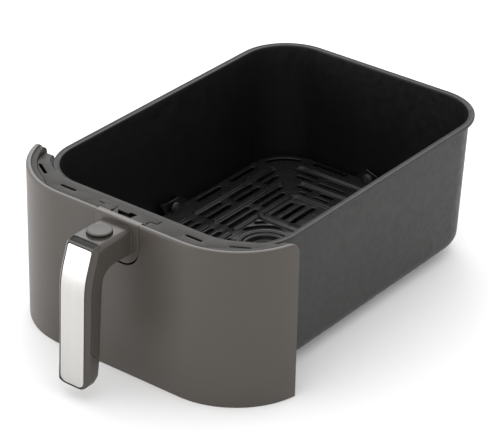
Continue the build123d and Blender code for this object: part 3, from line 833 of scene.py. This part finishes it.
def on_band(x, y, h):
    return (x, y, h + 0.3 - end_drop(y))


BAND_INSET = 8.7
BAND_POINTS = 37


def band_edge(grow):
    """The inner edge of the right band, from the arm's end to where it narrows to nothing."""
    points = []
    for k in range(BAND_POINTS):
        inset = LIP + JOINT + (BAND_INSET - LIP - JOINT) * smooth((BAND_POINTS - k) / 8)
        points.append(panel_path(inset + grow)[k])
    return points


# Each slot's middle, length, half width and turn
LEDGE_SLOTS = (
    (-61.4, 14.8, 16, 1.35, 0),
    (64.0, 14.8, 16, 1.35, 0),
    (-98.0, 25.8, 18.0, 1.4, -31.5),
    (99.6, 25.9, 17.0, 1.15, 31.5),
)


def build_ledge():
    """The ledge between panel and pan, its raised bands on the arms and the walls under it."""
    bm = bmesh.new()
    rim = LIP + JOINT
    a, b = SHELF_HALF_X + JOINT, WING_HALF_X + JOINT
    straight = [p for p in panel_path(rim)[BAND_POINTS:] if p[0] > a]
    right = band_edge(0.4) + straight
    notch = [(a, rim), (a, SHELF_END - JOINT), (b, SHELF_END - JOINT), (b, WING_END + JOINT)]
    half = right + notch
    inner = ledge_inner_path(2.0)
    around = half + [(-x, y) for x, y in half[::-1]] + inner
    holes = [slot_loop(*slot) for slot in LEDGE_SLOTS]
    slab(bm, around[::-1], holes, LEDGE_TOP - LEDGE_THICK, LEDGE_TOP, 0.15, on_ledge)
    for side in (-1, 1):
        outer = panel_path(rim)[: BAND_POINTS + 1]
        band = [(side * x, y) for x, y in outer + band_edge(0.0)[::-1]]
        if side > 0:
            band = band[::-1]
        slab(bm, band, [], LEDGE_TOP - 6.5, LEDGE_TOP, 0.15, on_band)
    wall = ledge_inner_path(4.0) + ledge_inner_path(2.0)[::-1]
    slab(bm, wall, [], LEDGE_WALL_LOW, LEDGE_WALL_HIGH, 0.0, under_ledge)
    for side in (-1, 1):
        x0 = side * panel_path(PANEL_WALL)[0][0]
        x1 = side * -ledge_inner_path(2.0)[0][0]
        block(bm, min(x0, x1), max(x0, x1), ARM_END - 2, ARM_END, LEDGE_WALL_LOW, 124.0)
    return piece("ledge", bm, "drawer", "ledge_plastic", 32, ["ledge_cover"])


def block(bm, x0, x1, y0, y1, z0, z1):
    corners = [(x0, y0), (x1, y0), (x1, y1), (x0, y1)]
    loft(bm, [at_z(corners, z0), at_z(corners, z1)], cap_start=True, cap_end=True)


# Handle ---------------------------------------------------------------------------------


def fillet_path(corners, spacing=2.0):
    """(a, b, radius) corners of a closed outline turned into points with round corners."""
    points = []
    count = len(corners)
    for i in range(count):
        a = Vector(corners[i - 1][:2])
        b = Vector(corners[i][:2])
        c = Vector(corners[(i + 1) % count][:2])
        radius = corners[i][2]
        u, v = (a - b).normalized(), (c - b).normalized()
        angle = u.angle(v)
        if radius <= 0 or angle > math.pi - 0.01:
            points.append((b.x, b.y, i))
            continue
        reach = radius / math.tan(angle / 2)
        p, q = b + u * reach, b + v * reach
        centre = b + (u + v).normalized() * (radius / math.sin(angle / 2))
        start = math.atan2(p.y - centre.y, p.x - centre.x)
        sweep = math.atan2(q.y - centre.y, q.x - centre.x) - start
        sweep = (sweep + math.pi) % (2 * math.pi) - math.pi
        steps = max(3, int(abs(sweep) * radius / spacing) + 1, int(math.degrees(abs(sweep)) / 9))
        for k in range(steps + 1):
            t = start + sweep * k / steps
            points.append((centre.x + radius * math.cos(t), centre.y + radius * math.sin(t), i))
    return points


def side_body(bm, corners, half_x, steps=5):
    """A (y, z) outline with width along x. A corner is (y, z, radius, edge, flat), where edge
    is how far the side edge is cut back there, and flat is 1 for a chamfer or 0 for a round."""
    points = fillet_path(corners)
    edges = [corners[i][3] for _, _, i in points]
    flats = [corners[i][4] for _, _, i in points]
    flat = [(y, z) for y, z, _ in points]
    area = sum(p[0] * q[1] - q[0] * p[1] for p, q in zip(flat, flat[1:] + flat[:1]))
    if area < 0:
        flat, edges, flats = flat[::-1], edges[::-1], flats[::-1]
    inward = [Vector(b) - Vector(a) for a, b in zip(flat, offset_loop(flat, 1.0))]
    loops = []
    for side in (-1, 1):
        stack = []
        for k in range(steps + 1):
            t = math.radians(90 * k / steps)
            loop = []
            for (y, z), edge, share, way in zip(flat, edges, flats, inward):
                shift = edge * (share * k / steps + (1 - share) * (1 - math.cos(t)))
                x = half_x - edge * (share * (1 - k / steps) + (1 - share) * (1 - math.sin(t)))
                loop.append((side * x, y + way.x * shift, z + way.y * shift))
            stack.append(loop)
        loops += stack[::-1] if side < 0 else stack
    loft(bm, loops, cap_start=True, cap_end=True)


FRONT_TOP = (-41.2, 131.6)
BEND = (-51.45, 103.6, 70.0)
FOOT = (-54.4, 12.5)
SPLIT_TOP = (-38.0, 130.0)
SPLIT_BEND = (-47.4, 102.5, 66.0)
SPLIT_LOW = (-50.0, 45.0)
SPLIT_BACK = (-37.9, 33.5)
BEVEL_TOP_Y = -34.5
FOOT_CORNER = 9.0


def handle_solid(bm):
    """The neck and the grip as one, from inside the tongue round the grip and back."""
    corners = [
        (4.0, NECK_TOP, 0, 4.5, 0),
        (BEVEL_TOP_Y + 4, NECK_TOP, 0, 4.5, 0),
        (BEVEL_TOP_Y, NECK_TOP, 0, 3.9, 0.3),
        (FRONT_TOP[0], FRONT_TOP[1], 0, 3.6, 1),
        (BEND[0], BEND[1], BEND[2], 3.7, 1),
        (-54.0, 26.0, 0, 3.7, 1),
        (FOOT[0], FOOT[1], 0, 3.0, 1),
        (-46.9, FOOT[1], 4, 3.0, 1),
        (-39.6, 21.0, 6, 3.6, 0),
        (-37.9, 34.0, 0, 3.4, 0),
        (-33.0, NECK_BOTTOM, 13, 3.4, 0),
        (4.0, NECK_BOTTOM, 0, 3.6, 0),
    ]
    side_body(bm, corners, HANDLE_HALF_X)


def split_prism(grow):
    """A block in front of the parting line between the two shells, grown by grow."""
    corners = [
        (-80, 145, 0),
        (BEVEL_TOP_Y, 145, 0),
        (BEVEL_TOP_Y, NECK_TOP - 0.2, 0),
        (SPLIT_TOP[0], SPLIT_TOP[1], 0),
        SPLIT_BEND,
        (SPLIT_LOW[0], SPLIT_LOW[1], 1.5),
        (SPLIT_BACK[0], SPLIT_BACK[1], 0),
        (-20, 16.5, 0),
        (-20, -5, 0),
        (-80, -5, 0),
    ]
    outline = [(y, z) for y, z, _ in fillet_path(corners)]
    outline = offset_loop(outline, grow)
    bm = bmesh.new()
    loft(bm, [[(x, y, z) for y, z in outline] for x in (-30, 30)], cap_start=True, cap_end=True)
    return bm


def foot_prism():
    """The grip from the front, with the foot's two corners rounded."""
    half, corner = HANDLE_HALF_X + 0.1, FOOT_CORNER
    outline = [(-half, 145)] + arc(-half + corner, FOOT[1] + corner, corner, 180, 270, 10)
    outline += arc(half - corner, FOOT[1] + corner, corner, 270, 360, 10) + [(half, 145)]
    bm = bmesh.new()
    loft(bm, [[(x, y, z) for x, z in outline] for y in (-80, 0)], cap_start=True, cap_end=True)
    return bm


def build_front_shell():
    """The grip's front frame, hollowed for the inlay and the strip."""
    bm = bmesh.new()
    handle_solid(bm)
    obj = piece("grip_frame", bm, "drawer", "frame_plastic", 28, ["handle_front_shell"])
    cut(obj, split_prism(0.0), "INTERSECT")
    cut(obj, foot_prism(), "INTERSECT")
    cutter = bmesh.new()
    inlay_slab(cutter, 0.7, -3.0, 1.6, 0.0)
    cut(obj, cutter)
    groove = bmesh.new()
    strip_slab(groove, 0.0, -0.5, 2.0, 0.0)
    cut(obj, groove)
    return obj


def strip_slab(bm, inset, low, high, soft):
    """A plate on the slope between the neck's top and the inlay."""
    outline = rounded_loop(12.0 - inset, 2.85 - inset, 1.5 - inset, 3.25, 6, 2)
    run = Vector((FRONT_TOP[0] - BEVEL_TOP_Y, FRONT_TOP[1] - NECK_TOP)).normalized()

    def place(x, along, h):
        return (x, BEVEL_TOP_Y + run.x * along + run.y * h, NECK_TOP + run.y * along - run.x * h)

    slab(bm, outline, [], low, high, soft, place)


def build_strip():
    """The dark strip on the slope above the inlay."""
    bm = bmesh.new()
    strip_slab(bm, 0.1, -0.9, -0.4, 0.1)
    obj = piece("grip_top_strip", bm, "drawer", "lever_plastic", 30)
    obj.data.materials[0] = STRIP
    return obj


def build_rear_shell():
    """The neck and the back of the grip, with the button's well."""
    bm = bmesh.new()
    handle_solid(bm)
    obj = piece("neck_and_grip", bm, "drawer", "handle_plastic", 28, ["handle_rear_shell"])
    cut(obj, split_prism(0.3))
    root = bmesh.new()
    block(root, -30, 30, -0.6, 10, 100, 140)
    cut(obj, root)
    well = bmesh.new()
    lathe(well, [(BUTTON_RADIUS + 0.25, 127.0), (BUTTON_RADIUS + 0.25, 140.0)], (0, BUTTON_Y), 64)
    cut(obj, well)
    return obj


def build_collar():
    """A thin raised edge round the neck where it meets the tongue."""
    half_x, low, high = HANDLE_HALF_X + 0.4, NECK_BOTTOM - 0.4, NECK_TOP + 0.4
    bm = bmesh.new()
    loop = rounded_loop(half_x, (high - low) / 2, 4.8, (low + high) / 2, 8, 2)
    slab(bm, loop, [], 0.35, 1.7, 0.4, lambda x, z, depth: (x, -depth, z))
    return piece("neck_collar", bm, "drawer", "handle_plastic", 30)


def front_line():
    """Points down the grip's front face from its top to its foot, as (y, z)."""
    top = (FRONT_TOP[0] - 0.7, FRONT_TOP[1] - 1.9)
    corners = [(top[0], top[1], 0), BEND, (FOOT[0], FOOT[1], 0), (0, 60, 0)]
    return [(y, z) for y, z, i in fillet_path(corners, 1.5) if i < 3]


def along_front(line, distance, depth):
    """The (y, z) at a distance down the front face and a depth behind it."""
    for a, b in zip(line, line[1:]):
        step = math.dist(a, b)
        if distance <= step or b == line[-1]:
            t = distance / step
            uy, uz = (b[0] - a[0]) / step, (b[1] - a[1]) / step
            return (a[0] + uy * step * t - uz * depth, a[1] + uz * step * t + uy * depth)
        distance -= step


def inlay_slab(bm, grow, front, back, soft):
    """A plate that follows the grip's front face, grown all round by grow."""
    line = front_line()
    length = sum(math.dist(a, b) for a, b in zip(line, line[1:])) - 1.2
    half = INLAY_HALF_X + grow
    low, high = -grow, length + grow
    spans = [low + 2.5 + (high - low - 9) * k / 60 for k in range(1, 60)]
    right = [(half, s) for s in spans]
    left = [(-half, s) for s in spans[::-1]]
    outline = arc(-half + 1.6, low + 1.6, 1.6, 180, 270, 4)
    outline += arc(half - 1.6, low + 1.6, 1.6, 270, 360, 4)
    outline += right + arc(half - 5.5, high - 5.5, 5.5, 0, 90, 8)
    outline += arc(-half + 5.5, high - 5.5, 5.5, 90, 180, 8) + left

    def place(x, s, depth):
        y, z = along_front(line, s, -depth)
        return (x, y, z)

    slab(bm, outline, [], -back, -front, soft, place)


def build_inlay():
    """The silver plate down the grip's front."""
    bm = bmesh.new()
    inlay_slab(bm, 0.0, 0.05, 1.5, 0.35)
    return piece("inlay_plate", bm, "drawer", "inlay", 30, ["handle_inlay"])


def build_button():
    """The release button, its side wall painted near black as shade under the cap, and a stem under it.
    """
    bm = bmesh.new()
    cap = [(0.4, 0.25), (4.0, 0.2), (7.5, 0.06), (8.9, 0.0), (9.5, 0.1), (9.95, 0.4)]
    wall = [(BUTTON_RADIUS, 0.7), (BUTTON_RADIUS, 2.0), (10.05, 2.3), (10.05, 6.0), (3.6, 6.0)]
    profile = [(radius, BUTTON_TOP - drop) for radius, drop in cap + wall] + [(3.6, 121.3)]
    sides = 64
    lathe(bm, profile, (0, BUTTON_Y), sides)
    # The side wall under the cap takes the near-black second finish, a painted shade
    for k, face in enumerate(bm.faces):
        if k // sides == len(cap):
            face.material_index = 1
    obj = piece("button", bm, "button", "button_plastic", 35, ["release_button"])
    obj.data.materials.append(BUTTON_WALL_PAINTED_SHADE)
    return obj


# CAD nodes that stay --------------------------------------------------------------------


def dress_nodes():
    """Gives each CAD node that stays the finish of its material slot."""
    slots = {part["node"]: part["material_slot"] for part in frame["record"]["subparts"]}
    for name, node in frame["nodes"].items():
        node.data.materials.clear()
        node.data.materials.append(LOOK[slots[name]])


# Stage ----------------------------------------------------------------------------------

CAMERA_YAW = 37.11
CAMERA_PITCH = 29.08
CAMERA_ROLL = 1.19
CAMERA_LENS = 177.08
CAMERA_PLACE = (1066.7, -1241.3, 1047.8)


def to_frame(x, y, z):
    return Vector((x, y + FRONT, z)) / 1000


def build_camera():
    data = bpy.data.cameras.new("camera")
    data.lens = CAMERA_LENS
    data.sensor_width = 36.0
    data.clip_end = 20
    camera = bpy.data.objects.new("camera", data)
    bpy.context.scene.collection.objects.link(camera)
    yaw, pitch, roll = (math.radians(v) for v in (CAMERA_YAW, CAMERA_PITCH, CAMERA_ROLL))
    back = Vector((math.sin(yaw) * math.cos(pitch), -math.cos(yaw) * math.cos(pitch), math.sin(pitch)))
    flat = Vector((math.cos(yaw), math.sin(yaw), 0))
    up = back.cross(flat)
    right = math.cos(roll) * flat + math.sin(roll) * up
    up = back.cross(right)
    turn = Matrix((right, up, back)).transposed()
    camera.matrix_world = Matrix.Translation(to_frame(*CAMERA_PLACE)) @ turn.to_4x4()
    bpy.context.scene.camera = camera


def area_light(name, place, target, size, power):
    data = bpy.data.lights.new(name, "AREA")
    data.shape = "RECTANGLE"
    data.size, data.size_y = size
    data.energy = power
    light = bpy.data.objects.new(name, data)
    bpy.context.scene.collection.objects.link(light)
    light.location = place
    way = Vector(target) - Vector(place)
    light.rotation_euler = way.to_track_quat("-Z", "Y").to_euler()


def build_stage():
    """The pale floor, the white surroundings and three soft lights from the left."""
    floor = bmesh.new()
    loft(floor, [[(-4, -4, 0), (4, -4, 0)], [(-4, 4, 0), (4, 4, 0)]], closed=False)
    mesh = bpy.data.meshes.new("floor")
    floor.to_mesh(mesh)
    floor.free()
    obj = bpy.data.objects.new("floor", mesh)
    bpy.context.scene.collection.objects.link(obj)
    m = Nodes("floor_paper")
    m.colour(m.noise(3, 2), (0.95, 0.95, 0.95), 0.004)
    m.roughness(m.noise(20, 2), 0.75, 0.85)
    mesh.materials.append(m.material)
    world = bpy.data.worlds.new("studio")
    world.use_nodes = True
    world.node_tree.nodes["Background"].inputs["Color"].default_value = (1, 1, 1, 1)
    world.node_tree.nodes["Background"].inputs["Strength"].default_value = 1.32
    bpy.context.scene.world = world
    area_light("back_left", (-0.74, 0.81, 0.81), (0, -0.15, 0.1), (0.7, 0.5), 2.8)
    area_light("left", (-1.5, -0.5, 0.5), (0, 0, 0.06), (1.4, 0.9), 4.2)
    area_light("front_left", (-0.9, -1.3, 0.35), (0, 0, 0.06), (1.2, 0.7), 5.4)
    bpy.context.scene.view_settings.view_transform = "Standard"


build_camera()
build_stage()
dress_nodes()
build_pan()
build_plate()
build_bumpers()
build_panel()
build_tongue()
build_ledge()
build_front_shell()
build_strip()
build_rear_shell()
build_collar()
build_inlay()
build_button()
